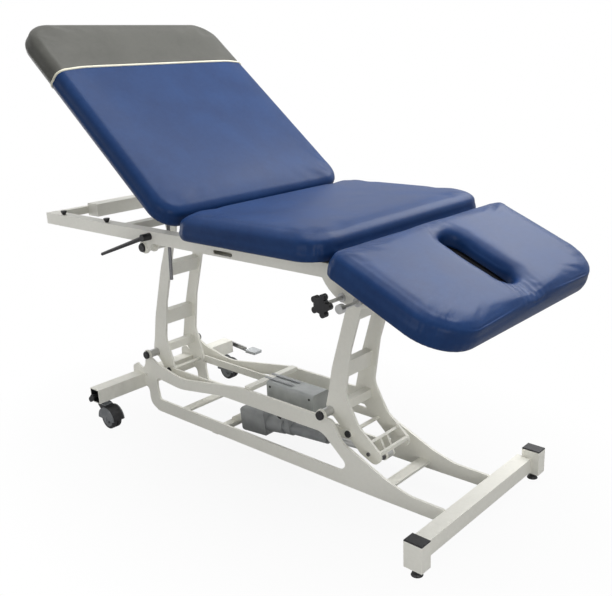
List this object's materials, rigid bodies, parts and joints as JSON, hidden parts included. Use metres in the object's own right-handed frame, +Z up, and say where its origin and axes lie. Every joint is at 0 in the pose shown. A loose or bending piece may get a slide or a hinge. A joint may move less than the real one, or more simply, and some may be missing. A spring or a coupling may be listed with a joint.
{
  "type": "treatment table",
  "caption": "Padded treatment table with motor-driven height lift on two linked legs, raised backrest, drop face section with a breathing slot, and a wheeled steel base.",
  "frame": {"origin": "middle of the table on the floor", "axes": "+X toward the face section, +Y across the table toward the wheel lock pedal, +Z up"},
  "size_m": [1.6968, 0.764, 1.3693],
  "materials": {
    "white_frame": "warm white powder coat",
    "blue_vinyl": "royal blue upholstery vinyl with a fine grain",
    "grey_vinyl": "grey upholstery vinyl",
    "cream_piping": "cream welt",
    "plywood": "birch plywood under black dust cloth",
    "black_plastic": "black moulded plastic",
    "grey_plastic": "mid grey moulded plastic",
    "dark_steel": "black oxide steel",
    "bright_steel": "zinc plated steel",
    "wheel_rubber": "black wheel tread",
    "cable": "black cable jacket"
  },
  "bodies": {
    "base": {"side_plate_near": "white_frame", "side_plate_far": "white_frame", "rear_cross_tube": "white_frame", "front_foot_frame": "white_frame", "post_caps": "black_plastic", "cross_bars": "white_frame", "hinge_pins": "bright_steel", "hinge_caps": "black_plastic", "drive_clevis": "white_frame", "control_box": "grey_plastic", "control_fixings": "bright_steel", "drive_lead": "cable"},
    "foot_near": {"levelling_foot_near": "bright_steel"},
    "foot_far": {"levelling_foot_far": "bright_steel"},
    "caster_near": {"caster_fork_near": "grey_plastic"},
    "caster_far": {"caster_fork_far": "grey_plastic"},
    "wheel_near": {"caster_wheel_near": "wheel_rubber"},
    "wheel_far": {"caster_wheel_far": "wheel_rubber"},
    "wheel_lock": {"lock_shaft": "bright_steel", "pedal_lever": "bright_steel", "pedal_pad": "grey_plastic"},
    "leg_right": {"leg_plates_right": "white_frame", "leg_rungs_right": "white_frame", "leg_foot_right": "white_frame", "leg_bolts": "dark_steel", "top_pin_right": "bright_steel"},
    "leg_left": {"leg_plates_left": "white_frame", "leg_rungs_left": "white_frame", "top_pin_left": "bright_steel"},
    "tie_bars": {"tie_bars": "white_frame", "tie_rods": "black_plastic"},
    "actuator": {"drive_housing": "grey_plastic", "drive_outer_tube": "bright_steel"},
    "actuator_rod": {"drive_rod": "bright_steel"},
    "top_frame": {"rail_far": "white_frame", "rail_near": "white_frame", "frame_cross_members": "white_frame", "rear_cover": "white_frame", "pivot_lugs": "white_frame", "seat_supports": "white_frame", "rail_bumpers": "black_plastic", "seat_board": "plywood", "seat_pad": "blue_vinyl", "back_ears": "white_frame", "lock_brackets": "white_frame", "face_ears": "white_frame", "face_sector": "white_frame"},
    "backrest": {"back_frame": "white_frame", "back_board": "plywood", "back_pad": "blue_vinyl", "back_band": "grey_vinyl", "back_piping": "cream_piping"},
    "lock_tube": {"lock_tube": "white_frame"},
    "lock_rod": {"lock_rod": "dark_steel"},
    "clamp_lever": {"clamp_lever": "black_plastic"},
    "face_section": {"face_arms": "white_frame", "face_board": "plywood", "face_pad": "blue_vinyl", "headed_rod": "dark_steel"},
    "star_knob": {"star_knob": "black_plastic"}
  },
  "joints": [
    {"name": "lift", "type": "hinge", "parent": "base", "child": "leg_right", "pos_m": [0.2356, 0, 0.2303], "axis": [0, 1, 0], "range_deg": [-8, 54]},
    {"name": "rear_leg_hinge", "type": "hinge", "parent": "base", "child": "leg_left", "pos_m": [-0.6102, 0, 0.2303], "axis": [0, 1, 0], "range_deg": [-8.5, 54.5]},
    {"name": "tie_bar_pivot", "type": "hinge", "parent": "leg_right", "child": "tie_bars", "pos_m": [0.3063, 0, 0.1744], "axis": [0, 1, 0], "range_deg": [-54.5, 8.5]},
    {"name": "frame_pivot", "type": "hinge", "parent": "leg_right", "child": "top_frame", "pos_m": [0.3706, 0, 0.6703], "axis": [0, 1, 0], "range_deg": [-54.5, 8.5]},
    {"name": "actuator_pivot", "type": "hinge", "parent": "base", "child": "actuator", "pos_m": [-0.2324, 0, 0.052], "axis": [0, 1, 0], "range_deg": [-1.62, 8.04]},
    {"name": "actuator_stroke", "type": "slide", "parent": "actuator", "child": "actuator_rod", "axis": [0.9965, 0, 0.0835], "range_m": [-0.1699, 0.0269]},
    {"name": "backrest_hinge", "type": "hinge", "parent": "top_frame", "child": "backrest", "pos_m": [-0.0774, 0, 0.803], "axis": [0, 1, 0], "range_deg": [-39.6, 30]},
    {"name": "lock_tube_swivel", "type": "hinge", "parent": "top_frame", "child": "lock_tube", "pos_m": [-0.2904, -0.215, 0.7145], "axis": [0, 1, 0], "range_deg": [-20.3, 15.5]},
    {"name": "lock_rod_travel", "type": "slide", "parent": "lock_tube", "child": "lock_rod", "axis": [0.0489, 0, 0.9988], "range_m": [-0.1481, 0.1127]},
    {"name": "clamp_lever_turn", "type": "hinge", "parent": "top_frame", "child": "clamp_lever", "pos_m": [-0.2582, -0.31, 0.752], "axis": [0, 1, 0], "range_deg": [-60, 30]},
    {"name": "face_hinge", "type": "hinge", "parent": "top_frame", "child": "face_section", "pos_m": [0.4816, 0, 0.7682], "axis": [0, 1, 0], "range_deg": [-34, 45]},
    {"name": "star_knob_turn", "type": "hinge", "parent": "face_section", "child": "star_knob", "pos_m": [0.4446, -0.33, 0.6652], "axis": [0, 1, 0], "continuous": true},
    {"name": "wheel_lock_pedal", "type": "hinge", "parent": "base", "child": "wheel_lock", "pos_m": [-0.6642, 0, 0.125], "axis": [0, 1, 0], "range_deg": [-15, 15]},
    {"name": "foot_turn_near", "type": "hinge", "parent": "base", "child": "foot_near", "pos_m": [0.7084, -0.3048, 0.022], "axis": [0, 0, 1], "continuous": true},
    {"name": "foot_turn_far", "type": "hinge", "parent": "base", "child": "foot_far", "pos_m": [0.7084, 0.3048, 0.022], "axis": [0, 0, 1], "continuous": true},
    {"name": "swivel_near", "type": "hinge", "parent": "base", "child": "caster_near", "pos_m": [-0.6642, -0.287, 0.0996], "axis": [0, 0, 1], "continuous": true},
    {"name": "swivel_far", "type": "hinge", "parent": "base", "child": "caster_far", "pos_m": [-0.6642, 0.287, 0.0996], "axis": [0, 0, 1], "continuous": true},
    {"name": "roll_near", "type": "hinge", "parent": "caster_near", "child": "wheel_near", "pos_m": [-0.6292, -0.287, 0.0375], "axis": [0, 1, 0], "continuous": true},
    {"name": "roll_far", "type": "hinge", "parent": "caster_far", "child": "wheel_far", "pos_m": [-0.6292, 0.287, 0.0375], "axis": [0, 1, 0], "continuous": true}
  ],
  "couplings": [
    {"joint": "rear_leg_hinge", "follows": "lift", "ratio": 1},
    {"joint": "tie_bar_pivot", "follows": "lift", "ratio": -1},
    {"joint": "frame_pivot", "follows": "lift", "ratio": -1},
    {"joint": "actuator_pivot", "follows": "lift", "ratio": 0.1396},
    {"joint": "actuator_stroke", "follows": "lift", "m_per_rad": -0.17815},
    {"joint": "lock_tube_swivel", "follows": "backrest_hinge", "ratio": 0.5},
    {"joint": "lock_rod_travel", "follows": "backrest_hinge", "m_per_rad": 0.21145}
  ]
}
